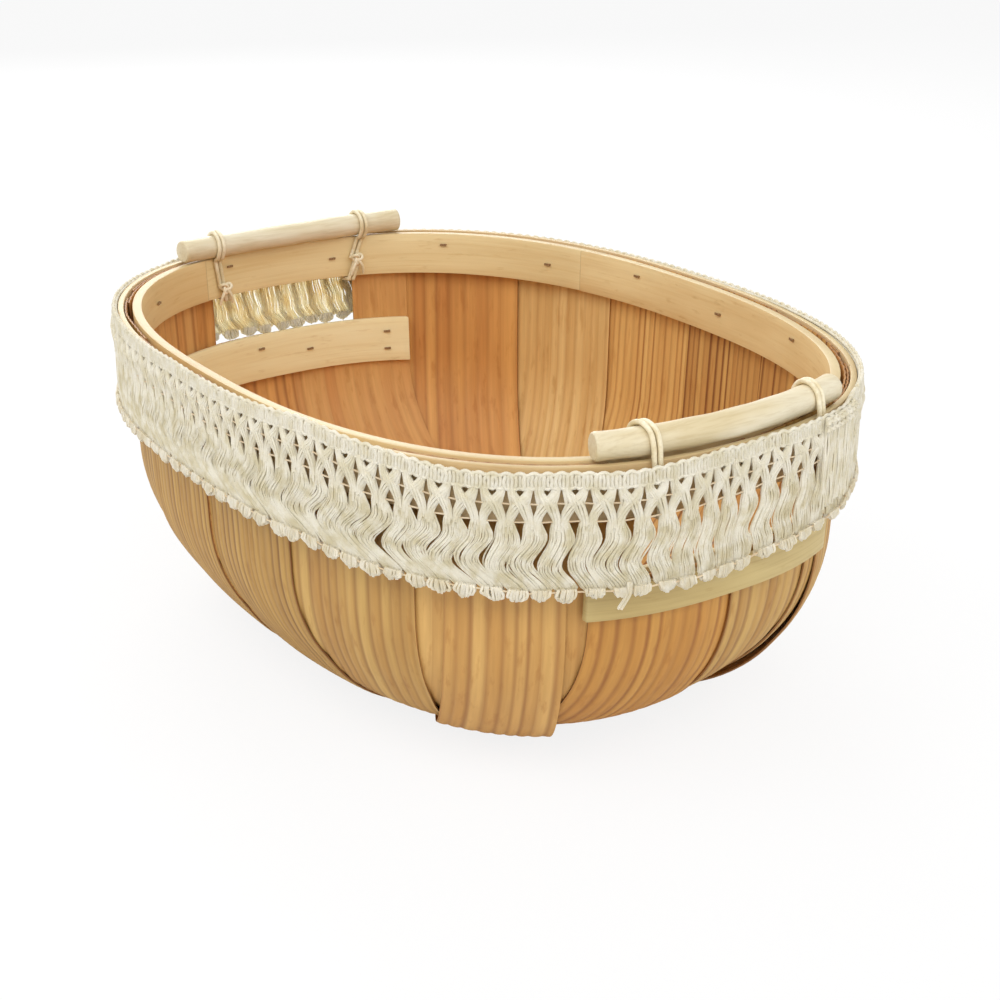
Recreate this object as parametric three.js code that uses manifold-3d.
// An oval basket of crossed wood-veneer strips: the strips run from rim to rim under the base,
// an inner and an outer hoop clamp their tops, and each end wall has a hand hole framed by slats.
// A stick is tied along the rim over each hand hole, and a knotted net fringe hangs round the rim.
// Millimetres, +Z up. The origin is the middle of the underside. X is the long axis of the oval.
import * as THREE from 'three';
import { mergeVertices } from 'three/addons/utils/BufferGeometryUtils.js';
import Module from 'manifold-3d';

const wasm = await Module();
wasm.setup();

// Driving dimensions of the oval and its wall
const RIM_LENGTH = 374;
const RIM_WIDTH = 282;
const RIM_HEIGHT = 152;
const RIM_DIP = 2;
const OVAL_POWER = 2.46;
const WALL_LEAN = THREE.MathUtils.degToRad(2);
const BEND_RADIUS = 76;

// Veneer strips
const STRIP_THICKNESS = 0.7;
const WALL_LAYER_GAP = 0.6;
const BASE_LAYER_GAP = 0.45;
const BASE_LAYERS = 9;
const WALL_LAYERS = 3;
const STRIP_TOP_DROP = 0.8;
const CROSS_STRIP_WIDTH = 64;
const STEEP_STRIP_WIDTH = 66;
const LINING_STRIP_WIDTH = 78;
const CORNER_STRIP_WIDTH = 49;
const NEAR_CORNER_WIDTH = 45;
const LONG_STRIP_WIDTH = 64;
const SEAM_GAP = 1;
const LONG_SEAM_Y = 5.5;
const STEEP_ANGLE = THREE.MathUtils.degToRad(52.5);
const LINING_ANGLE = THREE.MathUtils.degToRad(30);
const CORNER_ANGLE = THREE.MathUtils.degToRad(28.2);
const NEAR_CORNER_ANGLE = THREE.MathUtils.degToRad(30.4);
const NEAR_CORNER_CENTRE = 3.3;
const CORNER_BULGE = 1.6;
const FLOOR_LAYER_RISE = 5;

// Hoops and slats
const HOOP_HEIGHT = 22;
const OUTER_HOOP_THICKNESS = 2.6;
const INNER_HOOP_THICKNESS = 4.2;
const SCARF_LENGTH = 14;
const INNER_JOINTS = [119, 194].map(THREE.MathUtils.degToRad);
const OUTER_JOINTS = [80, 260].map(THREE.MathUtils.degToRad);
const FIT_GAP = 0.3;
const SLAT_THICKNESS = 2.5;
const SLAT_GAP = 0.6;
const INNER_SLAT_LENGTH = 138;
const INNER_SLAT_HEIGHT = 25;
const INNER_SLAT_LIFT = 2.5;
const OUTER_SLAT_LENGTH = 126;
const OUTER_SLAT_HEIGHT = 15;

// Hand holes
const HOLE_WIDTH = 84;
const HOLE_BOTTOM = 101.5;
const HOLE_OVERLAP = 3;
const HOLE_CUT_DEPTH = 60;

// Sticks and their ties
const STICK_DIAMETER = 12;
const FAR_STICK_LENGTH = 130;
const FAR_STICK_SHIFT = 3;
const FAR_STICK_END_INSET = 17.6;
const FAR_STICK_BOW = 5;
const NEAR_STICK_LENGTH = 122;
const NEAR_STICK_SHIFT = 0;
const NEAR_STICK_END_INSET = 15.5;
const NEAR_STICK_BOW = 10;
const CORD_DIAMETER = 2.6;
const CORD_GAP = 0.7;
const CORD_TURNS = 2;
const CORD_TURN_GAP = 0.8;
const KNOT_RADIUS = 3.4;
const KNOT_DROP = 16;
const TAIL_LENGTH = 9;
const TAIL_SPREAD = 5.4;
const CORD_CORNER = 1.4;
const FAR_TIES_Y = [-41, 45];
const NEAR_TIES_Y = [-41, 43.5];

// Clinched tacks
const TACK_WIDTH = 1.1;
const TACK_FOOT = 3;
const TACK_FOOT_THICKNESS = 0.5;
const TACK_DEPTH = 1.8;
const TACK_CLEARANCE = 0.3;
const TACK_FOOT_GAP = 0.6;
const RIM_TACKS = 16;
const RIM_TACK_DEPTHS = [6, 11];
const FIRST_RIM_TACK = 0.52;
const SLAT_TACK_MARGIN = 10;
const SLAT_TACK_SPREAD = 5;
const MIDDLE_TACK_SPACING = 30;

// Fringe
const TASSELS = 108;
const FRINGE_DROP = 2;
// How far the tape's top edge rises over FRINGE_TOP, at angles round the rim
const TAPE_RISES = [
  [-180, 1], [-150, 2], [-120, 2.6], [-95, 4.6], [-72, 5.3], [-55, 5], [-45, 3.3], [-35, 0.9],
  [-22, 0.4], [-12, -0.5], [-5, 2.2], [15, 2.8], [40, 2.5], [90, 2.5], [150, 1.5], [180, 1],
];
const FRINGE_HEIGHT = 53;
const FRINGE_THICKNESS = 1.8;
const HEADER_HEIGHT = 7;
const NET_GAP_WIDTH = 4.6;
const NET_ROWS = [[9, 3.4], [13.6, 4.6], [20, 5.4]];
const TASSEL_NOTCH = 4;
const TASSEL_TIP_WIDTH = 4.5;
const TAPE_END_ANGLE = THREE.MathUtils.degToRad(28);
const TIE_COVER_MARGIN = 5;
const TIE_COVER_EASE = 22;

// Sizes worked out from those above
const TAU = 2 * Math.PI;
const HALF_LENGTH = RIM_LENGTH / 2;
const HALF_WIDTH = RIM_WIDTH / 2;
const WALL_PITCH = STRIP_THICKNESS + WALL_LAYER_GAP;
const BASE_PITCH = STRIP_THICKNESS + BASE_LAYER_GAP;
const WALL_STACK = (WALL_LAYERS - 1) * WALL_PITCH + STRIP_THICKNESS;
const FLOOR_TOP = (BASE_LAYERS - 1) * BASE_PITCH + STRIP_THICKNESS;
const RIM_INSET = OUTER_HOOP_THICKNESS + FIT_GAP + WALL_STACK;
const BEND_TOP = FLOOR_TOP + BEND_RADIUS * (1 - Math.sin(WALL_LEAN));
const HOOP_BOTTOM = RIM_HEIGHT - HOOP_HEIGHT;
const CORD_RADIUS = CORD_DIAMETER / 2;
const STICK_RADIUS = STICK_DIAMETER / 2;

const veneer = new THREE.MeshStandardMaterial({ color: 0xc99a5b, roughness: 0.75, metalness: 0 });
const hoopWood = new THREE.MeshStandardMaterial({ color: 0xdfc497, roughness: 0.65, metalness: 0 });
const peeledWood = new THREE.MeshStandardMaterial({ color: 0xeadfc2, roughness: 0.6, metalness: 0 });
const cotton = new THREE.MeshStandardMaterial({ color: 0xebe4d2, roughness: 0.9, metalness: 0 });
const steel = new THREE.MeshStandardMaterial({ color: 0x6b5d4c, roughness: 0.5, metalness: 0.8 });

const basket = new THREE.Group();

// The oval of the rim, drawn in by an inset, as a polar radius
function ovalRadius(angle, inset) {
  const across = Math.abs(Math.cos(angle)) / (HALF_LENGTH - inset);
  const along = Math.abs(Math.sin(angle)) / (HALF_WIDTH - inset);
  return (across ** OVAL_POWER + along ** OVAL_POWER) ** (-1 / OVAL_POWER);
}

function ovalPoint(angle, inset, z = 0) {
  const radius = ovalRadius(angle, inset);
  return new THREE.Vector3(radius * Math.cos(angle), radius * Math.sin(angle), z);
}

// How far inside the rim's oval a point in plan lies
function insetAt(x, y) {
  let low = -2 * INNER_HOOP_THICKNESS;
  let high = HALF_WIDTH - 1;
  const angle = Math.atan2(y, x);
  const reach = Math.hypot(x, y);
  for (let step = 0; step < 40; step += 1) {
    const middle = (low + high) / 2;
    if (ovalRadius(angle, middle) > reach) low = middle;
    else high = middle;
  }
  return (low + high) / 2;
}

function outwardAt(x, y, inset) {
  const slope = (value, half) => Math.sign(value) * (Math.abs(value) / half) ** (OVAL_POWER - 1) / half;
  return new THREE.Vector2(slope(x, HALF_LENGTH - inset), slope(y, HALF_WIDTH - inset)).normalize();
}

// The lining surface of the basket: a leaning wall, a round bend and a flat floor
const BEND_INSET = RIM_INSET + (RIM_HEIGHT - BEND_TOP) * Math.tan(WALL_LEAN);
const FLOOR_INSET = BEND_INSET + BEND_RADIUS * Math.cos(WALL_LEAN);

function wallInset(z) {
  if (z >= BEND_TOP) return RIM_INSET + (RIM_HEIGHT - z) * Math.tan(WALL_LEAN);
  const drop = FLOOR_TOP + BEND_RADIUS - z;
  return FLOOR_INSET - Math.sqrt(Math.max(BEND_RADIUS ** 2 - drop ** 2, 0));
}

function liningHeight(inset) {
  const run = FLOOR_INSET - inset;
  if (run <= 0) return FLOOR_TOP;
  return FLOOR_TOP + BEND_RADIUS - Math.sqrt(Math.max(BEND_RADIUS ** 2 - run ** 2, 0));
}

// A point at a height over the lining, measured outwards along its normal
function overLining(x, y, z, height) {
  const outward = outwardAt(x, y, wallInset(z));
  const down = THREE.MathUtils.clamp((FLOOR_TOP + BEND_RADIUS - z) / BEND_RADIUS, Math.sin(WALL_LEAN), 1);
  const flat = Math.sqrt(1 - down * down);
  return new THREE.Vector3(x + outward.x * flat * height, y + outward.y * flat * height, z - down * height);
}

// Turns a box into a bent plate: u runs across, v along and w through it
function bentPlate(across, along, place) {
  const geometry = new THREE.BoxGeometry(1, 1, 1, across, along, 1);
  const position = geometry.attributes.position;
  for (let i = 0; i < position.count; i += 1) {
    const u = position.getX(i) + 0.5;
    const v = position.getY(i) + 0.5;
    const w = position.getZ(i) + 0.5;
    const point = place(u, v, w);
    position.setXYZ(i, point.x, point.y, point.z);
  }
  return facingOut(geometry);
}

function welded(geometry) {
  const bare = geometry.clone();
  bare.deleteAttribute('normal');
  bare.deleteAttribute('uv');
  return mergeVertices(bare, 1e-4);
}

function facingOut(geometry) {
  const closed = welded(geometry);
  const index = closed.index.array;
  const corner = [0, 1, 2].map(() => new THREE.Vector3());
  let volume = 0;
  for (let i = 0; i < index.length; i += 3) {
    corner.forEach((point, k) => point.fromBufferAttribute(closed.attributes.position, index[i + k]));
    volume += corner[0].dot(corner[1].cross(corner[2]));
  }
  if (volume < 0) {
    for (let i = 0; i < index.length; i += 3) {
      [index[i], index[i + 1]] = [index[i + 1], index[i]];
    }
  }
  return closed;
}

function solidOf(geometry) {
  const closed = welded(geometry);
  return new wasm.Manifold(new wasm.Mesh({
    numProp: 3,
    vertProperties: Float32Array.from(closed.attributes.position.array),
    triVerts: Uint32Array.from(closed.index.array),
  }));
}

function geometryOf(solid) {
  const mesh = solid.getMesh();
  const geometry = new THREE.BufferGeometry();
  geometry.setAttribute('position', new THREE.BufferAttribute(Float32Array.from(mesh.vertProperties), 3));
  geometry.setIndex(new THREE.BufferAttribute(Uint32Array.from(mesh.triVerts), 1));
  return geometry;
}

function cut(geometry, tools) {
  return geometryOf(tools.reduce((solid, tool) => solid.subtract(solidOf(tool)), solidOf(geometry)));
}

function joined(geometries) {
  const [first, ...others] = geometries.map(solidOf);
  return geometryOf(others.reduce((solid, other) => solid.add(other), first));
}

// The rim dips a little towards both ends, and everything dips with it
function settle(geometry) {
  const position = geometry.attributes.position;
  for (let i = 0; i < position.count; i += 1) {
    const lift = Math.max(position.getZ(i), 0) / RIM_HEIGHT;
    const reach = position.getX(i) / HALF_LENGTH;
    position.setZ(i, position.getZ(i) - RIM_DIP * lift * reach * reach);
  }
  geometry.computeVertexNormals();
  return geometry;
}

function addPiece(name, geometry, material) {
  const mesh = new THREE.Mesh(settle(geometry), material.clone());
  mesh.name = name;
  basket.add(mesh);
}

// Heights of a strip over the lining, in layers: at the rim, in the bend and on the floor
const BEND_ROWS = [0.82, 0.6, 0.41, 0.22].map((share) => THREE.MathUtils.lerp(FLOOR_TOP, BEND_TOP, share));
const BEND_LAYER_Z = BEND_ROWS[2];
const FLOOR_LAYER_Z = FLOOR_TOP + FLOOR_LAYER_RISE;

function stripHeight(z, wallLayer, floorLayer, bulge) {
  const rim = wallLayer * WALL_PITCH;
  const bend = rim + bulge;
  const floor = floorLayer * BASE_PITCH;
  if (z >= BEND_LAYER_Z) {
    return THREE.MathUtils.mapLinear(Math.min(z, BEND_TOP), BEND_LAYER_Z, BEND_TOP, bend, rim);
  }
  return THREE.MathUtils.mapLinear(Math.max(z, FLOOR_LAYER_Z), FLOOR_LAYER_Z, BEND_LAYER_Z, floor, bend);
}

// One strip is a straight band in plan, laid over the floor and bent up at both ends
const WALL_ROWS = [RIM_HEIGHT - STRIP_TOP_DROP, BEND_TOP, ...BEND_ROWS];
const BEND_STEPS = 5;
const FLOOR_STEPS = 2;
const STRIP_COLUMNS = 5;
const FLOOR_EDGE_MARGIN = 2;
const LONGEST_BEND_RUN = 75;

function stripGeometry({ angle, centre, width, floorLayer, layers, turned = false, bulge = 0 }) {
  const along = new THREE.Vector2(Math.cos(angle), Math.sin(angle));
  const across = new THREE.Vector2(-along.y, along.x);
  const half = WALL_ROWS.length - 1 + BEND_STEPS;
  const rows = 2 * half + FLOOR_STEPS;
  const reachOf = (offset, inset, side) => {
    let low = 0;
    let high = RIM_LENGTH;
    for (let step = 0; step < 40; step += 1) {
      const middle = (low + high) / 2;
      const x = along.x * middle * side + across.x * offset;
      const y = along.y * middle * side + across.y * offset;
      if (insetAt(x, y) > inset) low = middle;
      else high = middle;
    }
    return (low + high) / 2;
  };
  return bentPlate(STRIP_COLUMNS, rows, (u, v, w) => {
    const offset = centre + (u - 0.5) * width;
    const row = Math.round(v * rows);
    const side = row <= rows / 2 ? -1 : 1;
    const step = Math.min(row, rows - row);
    let reach = 0;
    let z = FLOOR_TOP;
    if (step < WALL_ROWS.length) {
      z = WALL_ROWS[step];
      reach = reachOf(offset, wallInset(z), side);
    } else {
      const join = reachOf(offset, wallInset(WALL_ROWS.at(-1)), side);
      const floorEdge = reachOf(offset, FLOOR_INSET + FLOOR_EDGE_MARGIN, side);
      const edge = Math.max(floorEdge, join - LONGEST_BEND_RUN);
      const share = Math.min((step - WALL_ROWS.length + 1) / BEND_STEPS, 1);
      reach = step > half ? 0 : THREE.MathUtils.lerp(join, edge, share);
    }
    const x = along.x * reach * side + across.x * offset;
    const y = along.y * reach * side + across.y * offset;
    if (step >= WALL_ROWS.length) z = liningHeight(insetAt(x, y));
    const layer = layers(turned && side < 0 ? 1 - u : u);
    const height = stripHeight(z, layer, floorLayer, bulge);
    return overLining(x, y, z, height + w * STRIP_THICKNESS);
  });
}

// Which layer of the wall a strip lies in, across its width from 0 to 1
const INNER = 0;
const MIDDLE = 1;
const OUTER = 2;
const steady = (layer) => () => layer;
const ramp = (from, to, start, end) => (u) =>
  THREE.MathUtils.lerp(from, to, THREE.MathUtils.clamp((u - start) / (end - start), 0, 1));

const CROSS_CENTRE = (CROSS_STRIP_WIDTH + SEAM_GAP) / 2;
const LONG_CENTRE = (LONG_STRIP_WIDTH + SEAM_GAP) / 2;
const CROSS_DIRECTION = Math.PI / 2;

// The ten strips, from the innermost on the floor to the outermost under the base
const strips = {
  long_strip_left: { angle: 0, centre: LONG_SEAM_Y + LONG_CENTRE, width: LONG_STRIP_WIDTH,
    floorLayer: 0, layers: ramp(OUTER, INNER, 0, 0.4) },
  lining_strip_b: { angle: LINING_ANGLE, centre: 0, width: LINING_STRIP_WIDTH,
    floorLayer: 1, layers: steady(MIDDLE) },
  lining_strip_a: { angle: -LINING_ANGLE, centre: 0, width: LINING_STRIP_WIDTH,
    floorLayer: 2, layers: steady(MIDDLE) },
  long_strip_right: { angle: 0, centre: LONG_SEAM_Y - LONG_CENTRE, width: LONG_STRIP_WIDTH,
    floorLayer: 3, layers: ramp(OUTER, MIDDLE, 0.75, 1) },
  steep_strip_b: { angle: STEEP_ANGLE, centre: 0, width: STEEP_STRIP_WIDTH,
    floorLayer: 4, layers: ramp(OUTER, MIDDLE, 0.4, 0.7), turned: true },
  steep_strip_a: { angle: -STEEP_ANGLE, centre: 0, width: STEEP_STRIP_WIDTH,
    floorLayer: 5, layers: ramp(MIDDLE, OUTER, 0.3, 0.6), turned: true },
  cross_strip_far: { angle: CROSS_DIRECTION, centre: CROSS_CENTRE, width: CROSS_STRIP_WIDTH,
    floorLayer: 6, layers: steady(OUTER) },
  cross_strip_near: { angle: CROSS_DIRECTION, centre: -CROSS_CENTRE, width: CROSS_STRIP_WIDTH,
    floorLayer: 6, layers: ramp(OUTER, MIDDLE, 0.6, 1) },
  corner_strip_b: { angle: CORNER_ANGLE, centre: 0, width: CORNER_STRIP_WIDTH,
    floorLayer: 7, layers: steady(OUTER), bulge: CORNER_BULGE },
  corner_strip_a: { angle: -NEAR_CORNER_ANGLE, centre: NEAR_CORNER_CENTRE, width: NEAR_CORNER_WIDTH,
    floorLayer: 8, layers: steady(OUTER), bulge: CORNER_BULGE },
};

// A hand hole in each end wall, from the slats' top edge to above the hoops' lower edge
const HOLE_TOP = HOOP_BOTTOM + HOLE_OVERLAP;

function holeTool(side) {
  const tool = new THREE.BoxGeometry(HOLE_CUT_DEPTH, HOLE_WIDTH, HOLE_TOP - HOLE_BOTTOM);
  tool.translate(side * HALF_LENGTH, 0, (HOLE_TOP + HOLE_BOTTOM) / 2);
  return tool;
}

for (const [name, spec] of Object.entries(strips)) {
  const plain = stripGeometry(spec);
  const pierced = name.startsWith('long') ? cut(plain, [holeTool(-1), holeTool(1)]) : plain;
  addPiece(name, pierced, veneer);
}

// Arc length round the oval, so that pieces are spaced by real distance
class Oval extends THREE.Curve {
  constructor(inset) {
    super();
    this.inset = inset;
    this.arcLengthDivisions = 720;
  }

  getPoint(t, target = new THREE.Vector3()) {
    return target.copy(ovalPoint(t * TAU, this.inset));
  }
}

function leanAt(z) {
  return (RIM_HEIGHT - z) * Math.tan(WALL_LEAN);
}

// A hoop piece is a leaning band with its two ends cut on a slant, to lie on its neighbour's
const HOOP_STEP_ANGLE = THREE.MathUtils.degToRad(5.5);

function hoopPiece(from, to, inset, thickness) {
  const scarf = SCARF_LENGTH / 2 / HALF_LENGTH;
  const gap = FIT_GAP / HALF_WIDTH;
  const steps = Math.ceil((to - from) / HOOP_STEP_ANGLE);
  return bentPlate(1, steps, (u, v, w) => {
    const slant = scarf * (2 * w - 1);
    const angle = THREE.MathUtils.lerp(from + slant + gap, to + slant - gap, v);
    const z = HOOP_BOTTOM + u * HOOP_HEIGHT;
    return ovalPoint(angle, inset + w * thickness + leanAt(z), z);
  });
}

const INNER_HOOP_INSET = RIM_INSET + FIT_GAP;

// A tack is a square shank with its point clinched flat, in a socket of the piece it holds
function tackShape() {
  const half = TACK_WIDTH / 2;
  const footTop = TACK_FOOT_GAP + TACK_FOOT_THICKNESS;
  const shape = new THREE.Shape();
  shape.moveTo(-half, -TACK_DEPTH);
  shape.lineTo(half, -TACK_DEPTH);
  shape.lineTo(half, TACK_FOOT_GAP);
  shape.lineTo(TACK_FOOT, TACK_FOOT_GAP);
  shape.lineTo(TACK_FOOT, footTop);
  shape.lineTo(-half, footTop);
  return shape;
}

function tackAt(point, outward, clearance = 0) {
  const width = TACK_WIDTH + 2 * clearance;
  const socket = new THREE.BoxGeometry(width, TACK_DEPTH + TACK_WIDTH + clearance, width);
  socket.translate(0, (TACK_WIDTH - TACK_DEPTH - clearance) / 2, 0);
  const geometry = clearance > 0
    ? socket
    : new THREE.ExtrudeGeometry(tackShape(), { depth: TACK_WIDTH, bevelEnabled: false })
      .translate(0, 0, -TACK_WIDTH / 2);
  const up = new THREE.Vector3(0, 0, 1);
  const inward = new THREE.Vector3(-outward.x, -outward.y, 0);
  const side = new THREE.Vector3().crossVectors(inward, up);
  geometry.applyMatrix4(new THREE.Matrix4().makeBasis(side, inward, up));
  geometry.translate(point.x, point.y, point.z);
  return geometry;
}

const tacks = [];
const sockets = { rim: [], far_inner_slat: [], near_inner_slat: [] };

function placeTack(name, host, point, outward) {
  tacks.push([name, tackAt(point, outward)]);
  sockets[host].push(tackAt(point, outward, TACK_CLEARANCE));
}

const hoopFace = INNER_HOOP_INSET + INNER_HOOP_THICKNESS;
for (let i = 0; i < RIM_TACKS; i += 1) {
  const z = RIM_HEIGHT - RIM_TACK_DEPTHS[i % RIM_TACK_DEPTHS.length];
  const oval = new Oval(hoopFace + leanAt(z));
  const point = oval.getPointAt((i + FIRST_RIM_TACK) / RIM_TACKS);
  const outward = outwardAt(point.x, point.y, oval.inset);
  point.z = z;
  placeTack(`rim_tack_${i + 1}`, 'rim', point, outward);
}

// Slats lie against the wall, bent to its oval, under each hand hole
const SLAT_STEPS = 12;
const OUTER_SLAT_RISE = WALL_STACK + FIT_GAP;

function slatGeometry(side, length, bottom, height, overLiningBy) {
  return bentPlate(SLAT_STEPS, 1, (u, v, w) => {
    const y = (u - 0.5) * length;
    const z = bottom + v * height;
    const inset = wallInset(z) - overLiningBy - w * SLAT_THICKNESS;
    return new THREE.Vector3(side * endReach(y, inset), y, z);
  });
}

// Where the oval at an inset crosses a given Y, on an end
function endReach(y, inset) {
  const share = (Math.abs(y) / (HALF_WIDTH - inset)) ** OVAL_POWER;
  return (HALF_LENGTH - inset) * (1 - share) ** (1 / OVAL_POWER);
}

const INNER_SLAT_BOTTOM = HOLE_BOTTOM + INNER_SLAT_LIFT - INNER_SLAT_HEIGHT;
const OUTER_SLAT_BOTTOM = HOLE_BOTTOM - OUTER_SLAT_HEIGHT;
function slatTackPlaces() {
  const endY = INNER_SLAT_LENGTH / 2 - SLAT_TACK_MARGIN;
  const middleZ = INNER_SLAT_BOTTOM + INNER_SLAT_HEIGHT / 2;
  return [
    [-endY, middleZ + SLAT_TACK_SPREAD],
    [-endY, middleZ - SLAT_TACK_SPREAD],
    [-MIDDLE_TACK_SPACING / 2, middleZ + SLAT_TACK_SPREAD],
    [MIDDLE_TACK_SPACING / 2, middleZ],
    [endY, middleZ + SLAT_TACK_SPREAD],
    [endY, middleZ - SLAT_TACK_SPREAD],
  ];
}

const ends = { far: -1, near: 1 };
for (const [end, side] of Object.entries(ends)) {
  slatTackPlaces().forEach(([y, z], i) => {
    const inset = wallInset(z) + SLAT_GAP + SLAT_THICKNESS;
    const point = new THREE.Vector3(side * endReach(y, inset), y, z);
    const outward = outwardAt(point.x, point.y, inset);
    placeTack(`${end}_slat_tack_${i + 1}`, `${end}_inner_slat`, point, outward);
  });
  const innerHeight = -SLAT_GAP - SLAT_THICKNESS;
  const inner = slatGeometry(side, INNER_SLAT_LENGTH, INNER_SLAT_BOTTOM, INNER_SLAT_HEIGHT, innerHeight);
  const outer = slatGeometry(side, OUTER_SLAT_LENGTH, OUTER_SLAT_BOTTOM, OUTER_SLAT_HEIGHT,
    OUTER_SLAT_RISE);
  addPiece(`${end}_inner_slat`, cut(inner, sockets[`${end}_inner_slat`]), hoopWood);
  addPiece(`${end}_outer_slat`, outer, hoopWood);
}

const [innerA, innerB] = INNER_JOINTS;
const [outerA, outerB] = OUTER_JOINTS;
const innerHoop = (from, to) => cut(hoopPiece(from, to, INNER_HOOP_INSET, INNER_HOOP_THICKNESS), sockets.rim);
addPiece('inner_hoop_end', innerHoop(innerA, innerB), hoopWood);
addPiece('inner_hoop_round', innerHoop(innerB, innerA + TAU), hoopWood);
addPiece('outer_hoop_left', hoopPiece(outerA, outerB, 0, OUTER_HOOP_THICKNESS), hoopWood);
addPiece('outer_hoop_right', hoopPiece(outerB, outerA + TAU, 0, OUTER_HOOP_THICKNESS), hoopWood);
for (const [name, geometry] of tacks) addPiece(name, facingOut(geometry), steel);

// A stick lies along the rim at each end, a little bowed, and is held by two ties
const STICK_STEPS = 8;
const STICK_SIDES = 10;
const STICK_Z = RIM_HEIGHT + FIT_GAP + STICK_RADIUS;

function roundSection(radius, sides) {
  const points = [];
  for (let i = 0; i < sides; i += 1) {
    const angle = (i / sides) * TAU;
    points.push(new THREE.Vector2(radius * Math.cos(angle), radius * Math.sin(angle)));
  }
  return new THREE.Shape(points);
}

function tube(path, radius, sides, steps) {
  const section = roundSection(radius, sides);
  return facingOut(new THREE.ExtrudeGeometry(section, { steps, bevelEnabled: false, extrudePath: path }));
}

const stickLength = { far: FAR_STICK_LENGTH, near: NEAR_STICK_LENGTH };
const stickShift = { far: FAR_STICK_SHIFT, near: NEAR_STICK_SHIFT };
const stickBow = (end, y) => 1 - (2 * (y - stickShift[end]) / stickLength[end]) ** 2;
const stickX = {
  far: (y) => FAR_STICK_END_INSET - HALF_LENGTH - FAR_STICK_BOW * stickBow('far', y),
  near: (y) => HALF_LENGTH - NEAR_STICK_END_INSET + NEAR_STICK_BOW * stickBow('near', y),
};

for (const end of Object.keys(ends)) {
  const points = [];
  for (let i = 0; i <= STICK_STEPS; i += 1) {
    const y = stickShift[end] + (i / STICK_STEPS - 0.5) * stickLength[end];
    points.push(new THREE.Vector3(stickX[end](y), y, STICK_Z));
  }
  addPiece(`${end}_stick`, tube(new THREE.CatmullRomCurve3(points), STICK_RADIUS, STICK_SIDES, STICK_STEPS),
    peeledWood);
}

// Each tie goes twice round the stick and both hoops, through the hand hole, to a knot inside
const CORD_SIDES = 6;
const CORD_STEPS_PER_POINT = 2;
const CORD_LENGTH_SAMPLES = 600;
const GAP_SAMPLES = 240;
const TIE_SPACING = CORD_DIAMETER + CORD_TURN_GAP;
const TIE_LOW_Y = HOLE_WIDTH / 2 - TIE_SPACING - CORD_DIAMETER;
const KNOT_Z = RIM_HEIGHT - KNOT_DROP;
const TIE_LOW = HOOP_BOTTOM - CORD_RADIUS - CORD_GAP;

// A tie is drawn in sideways on its way down from the rim, to pass inside the hole's edge
function drawnY(tieY, z) {
  const drop = THREE.MathUtils.clamp((RIM_HEIGHT - z) / (RIM_HEIGHT - TIE_LOW), 0, 1);
  return THREE.MathUtils.lerp(tieY, Math.sign(tieY) * TIE_LOW_Y, drop);
}

function tieTurn(end, side, y) {
  const insideInset = hoopFace + CORD_GAP + CORD_RADIUS;
  const outsideInset = -CORD_GAP - CORD_RADIUS;
  const at = (inset, z) => [endReach(y, inset + leanAt(Math.min(z, RIM_HEIGHT))), z];
  const insideTop = at(insideInset, RIM_HEIGHT - CORD_CORNER);
  const points = [
    at(insideInset, KNOT_Z),
    at(insideInset, RIM_HEIGHT - STICK_RADIUS),
    insideTop,
  ];
  const around = STICK_RADIUS + CORD_GAP + CORD_RADIUS;
  const stickReach = Math.abs(stickX[end](y));
  for (const degrees of [225, 180, 135, 90, 45, 0]) {
    const angle = THREE.MathUtils.degToRad(degrees);
    const reach = stickReach + around * Math.cos(angle);
    points.push([degrees > 180 ? Math.min(reach, insideTop[0]) : reach, STICK_Z + around * Math.sin(angle)]);
  }
  points.push(at(outsideInset, RIM_HEIGHT + CORD_GAP));
  points.push(at(outsideInset, RIM_HEIGHT - STICK_RADIUS));
  points.push(at(outsideInset, TIE_LOW + CORD_CORNER));
  points.push(at(outsideInset + CORD_CORNER, TIE_LOW));
  points.push(at(insideInset - CORD_CORNER, TIE_LOW));
  points.push(at(insideInset, TIE_LOW + CORD_CORNER));
  return points.map(([x, z]) => [side * x, z]);
}

// The least gap of a cord to itself, between points more than half a turn apart along it
function printLeastGap(label, path) {
  const points = path.getSpacedPoints(GAP_SAMPLES);
  const apart = Math.round(GAP_SAMPLES / CORD_TURNS / 2);
  let least = Infinity;
  for (let i = 0; i < points.length; i += 1) {
    for (let j = i + apart; j < points.length; j += 1) {
      least = Math.min(least, points[i].distanceTo(points[j]) - CORD_DIAMETER);
    }
  }
  console.log(`${label}: least gap to itself ${least.toFixed(2)} mm`);
}

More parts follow.
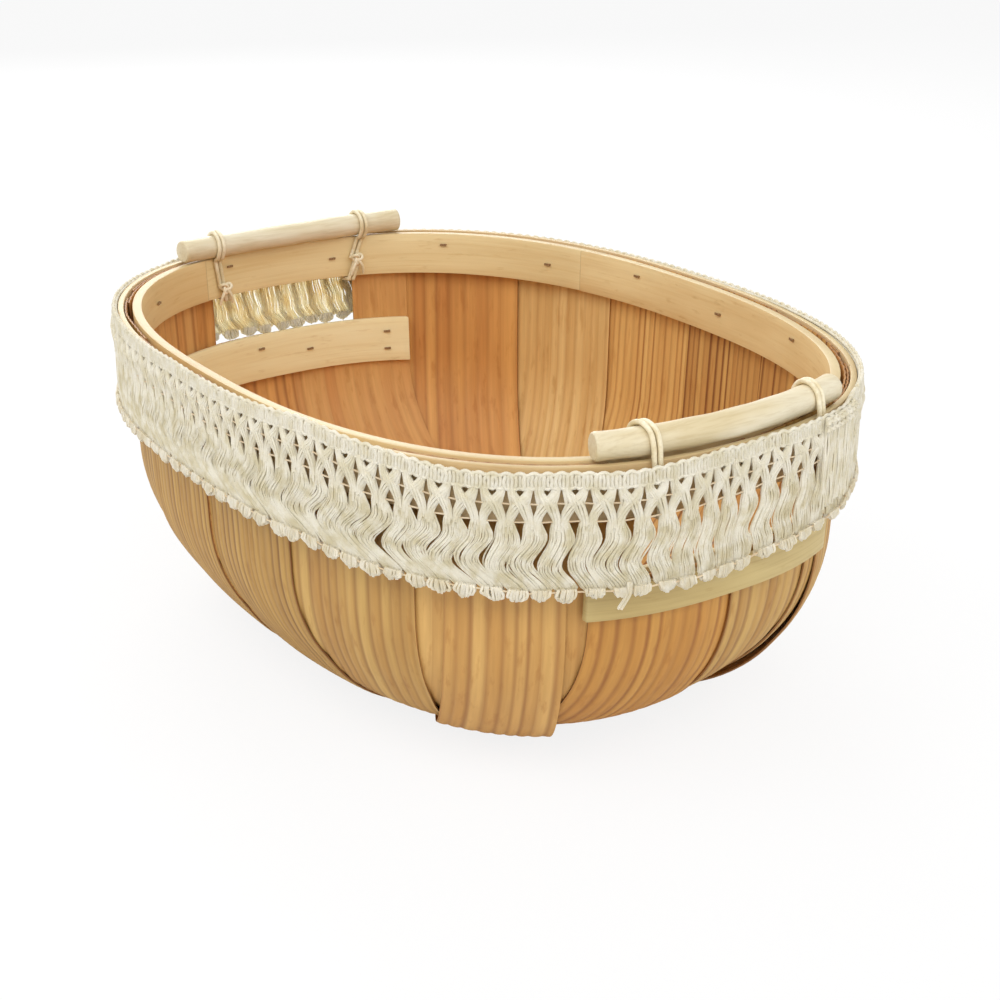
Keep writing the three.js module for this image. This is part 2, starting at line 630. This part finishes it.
function tieGeometry(end, side, tieY) {
  const points = [];
  for (let turn = 0; turn < CORD_TURNS; turn += 1) {
    const ring = tieTurn(end, side, tieY);
    ring.forEach(([, z], i) => {
      const y = drawnY(tieY, z) + (turn + i / ring.length - CORD_TURNS / 2) * TIE_SPACING;
      points.push(new THREE.Vector3(tieTurn(end, side, y)[i][0], y, z));
    });
  }
  const knotY = drawnY(tieY, KNOT_Z);
  const lastY = knotY + (CORD_TURNS / 2) * TIE_SPACING;
  const [lastX, lastZ] = tieTurn(end, side, lastY)[0];
  points.push(new THREE.Vector3(lastX, lastY, lastZ));
  const path = new THREE.CatmullRomCurve3(points, false, 'centripetal');
  path.arcLengthDivisions = CORD_LENGTH_SAMPLES;
  printLeastGap(`${end} tie at ${tieY}`, path);
  const cord = tube(path, CORD_RADIUS, CORD_SIDES, points.length * CORD_STEPS_PER_POINT);
  const knotInset = hoopFace + leanAt(KNOT_Z) + CORD_GAP + KNOT_RADIUS;
  const knotX = side * endReach(Math.abs(knotY) + KNOT_RADIUS, knotInset);
  const knot = new THREE.IcosahedronGeometry(KNOT_RADIUS, 1);
  knot.translate(knotX, knotY, lastZ);
  const tails = [-1, 1].map((way) => {
    const start = new THREE.Vector3(knotX, knotY, lastZ);
    const tip = new THREE.Vector3(knotX - side * CORD_RADIUS, knotY + way * TAIL_SPREAD, lastZ - TAIL_LENGTH);
    return tube(new THREE.LineCurve3(start, tip), CORD_RADIUS, CORD_SIDES, 2);
  });
  return joined([cord, knot, ...tails]);
}

const tiePlaces = { far: FAR_TIES_Y, near: NEAR_TIES_Y };
for (const [end, side] of Object.entries(ends)) {
  tiePlaces[end].forEach((y, i) => addPiece(`${end}_tie_${i + 1}`, tieGeometry(end, side, y), cotton));
}

// The fringe is one knotted tape: a header, a net of three rows of gaps and a row of tassels
const FRINGE_TOP = RIM_HEIGHT - FRINGE_DROP;
const TIE_STANDOFF = CORD_DIAMETER + 2 * CORD_GAP;
const FURTHEST_TIE_Y = Math.max(...[...FAR_TIES_Y, ...NEAR_TIES_Y].map(Math.abs));
const TIE_COVER_START = TIE_LOW_Y - TIE_SPACING - TIE_COVER_MARGIN;
const TIE_COVER_END = FURTHEST_TIE_Y + TIE_SPACING + TIE_COVER_MARGIN;
const FRINGE_START = TAPE_END_ANGLE / TAU;
const fringeOval = new Oval(0);
const TAPE_LENGTH = fringeOval.getLength();
const TASSEL_PITCH = TAPE_LENGTH / TASSELS;
const TAPE_END_GAP = 2 * FIT_GAP;

function tapeRise(angle) {
  const degrees = THREE.MathUtils.radToDeg(angle);
  const next = Math.max(1, TAPE_RISES.findIndex(([at]) => at >= degrees));
  const [[low, from], [high, to]] = TAPE_RISES.slice(next - 1, next + 1);
  return THREE.MathUtils.lerp(from, to, THREE.MathUtils.smoothstep(degrees, low, high));
}

function fringePoint(tapeShare, z, through) {
  const share = FRINGE_START + tapeShare * (1 - TAPE_END_GAP / TAPE_LENGTH);
  const point = fringeOval.getPointAt(share % 1);
  const sideways = Math.abs(point.y);
  const over = THREE.MathUtils.smoothstep(sideways, TIE_COVER_START - TIE_COVER_EASE, TIE_COVER_START);
  const past = THREE.MathUtils.smoothstep(sideways, TIE_COVER_END, TIE_COVER_END + TIE_COVER_EASE);
  const standoff = THREE.MathUtils.lerp(FIT_GAP, TIE_STANDOFF, over * (1 - past));
  const outward = outwardAt(point.x, point.y, 0);
  const reach = standoff + through * FRINGE_THICKNESS;
  const rise = tapeRise(Math.atan2(point.y, point.x));
  return new THREE.Vector3(point.x + outward.x * reach, point.y + outward.y * reach, z + rise);
}

function diamond(centreX, centreZ, width, height) {
  const half = { x: width / 2, z: height / 2 };
  return [
    new THREE.Vector2(centreX - half.x, centreZ),
    new THREE.Vector2(centreX, centreZ + half.z),
    new THREE.Vector2(centreX + half.x, centreZ),
    new THREE.Vector2(centreX, centreZ - half.z),
  ];
}

function fringeCell() {
  const [first, second, third] = NET_ROWS;
  const width = TASSEL_PITCH;
  const notchTop = -second[0] + second[1] / 2;
  const notchBottom = -second[0] - second[1] / 2;
  const notch = NET_GAP_WIDTH / 2;
  const tip = TASSEL_TIP_WIDTH / 2;
  const outline = [
    [0, 0], [0, notchTop], [notch, -second[0]], [0, notchBottom], [0, -FRINGE_HEIGHT + TASSEL_NOTCH],
    [width / 2 - tip, -FRINGE_HEIGHT], [width / 2 + tip, -FRINGE_HEIGHT],
    [width, -FRINGE_HEIGHT + TASSEL_NOTCH], [width, notchBottom], [width - notch, -second[0]],
    [width, notchTop], [width, 0],
  ].map(([x, z]) => new THREE.Vector2(x, z));
  const gaps = [first, third].map(([depth, height]) => diamond(width / 2, -depth, NET_GAP_WIDTH, height));
  return { outline, gaps };
}

function fringeGeometry() {
  const { outline, gaps } = fringeCell();
  const faces = THREE.ShapeUtils.triangulateShape(outline, gaps);
  const flat = [...outline, ...gaps.flat()];
  const positions = [];
  const corner = (cell, point, through) => {
    const share = (cell * TASSEL_PITCH + point.x) / TAPE_LENGTH;
    positions.push(...fringePoint(share, FRINGE_TOP + point.y, through).toArray());
  };
  const onSeam = (point, x) => Math.abs(point.x - x) < 1e-6;
  for (let cell = 0; cell < TASSELS; cell += 1) {
    for (const [a, b, c] of faces) {
      [a, b, c].forEach((k) => corner(cell, flat[k], 0));
      [a, c, b].forEach((k) => corner(cell, flat[k], 1));
    }
    for (const loop of [outline, ...gaps]) {
      loop.forEach((from, i) => {
        const to = loop[(i + 1) % loop.length];
        const seams = [[0, 0], [TASSEL_PITCH, TASSELS - 1]];
        const inside = seams.some(([x, last]) => onSeam(from, x) && onSeam(to, x) && cell !== last);
        if (inside) return;
        corner(cell, from, 0);
        corner(cell, from, 1);
        corner(cell, to, 1);
        corner(cell, from, 0);
        corner(cell, to, 1);
        corner(cell, to, 0);
      });
    }
  }
  const geometry = new THREE.BufferGeometry();
  geometry.setAttribute('position', new THREE.Float32BufferAttribute(positions, 3));
  geometry.setAttribute('normal', new THREE.Float32BufferAttribute(positions.length, 3));
  geometry.setAttribute('uv', new THREE.Float32BufferAttribute((positions.length / 3) * 2, 2));
  return facingOut(geometry);
}

addPiece('fringe', fringeGeometry(), cotton);

export default basket;
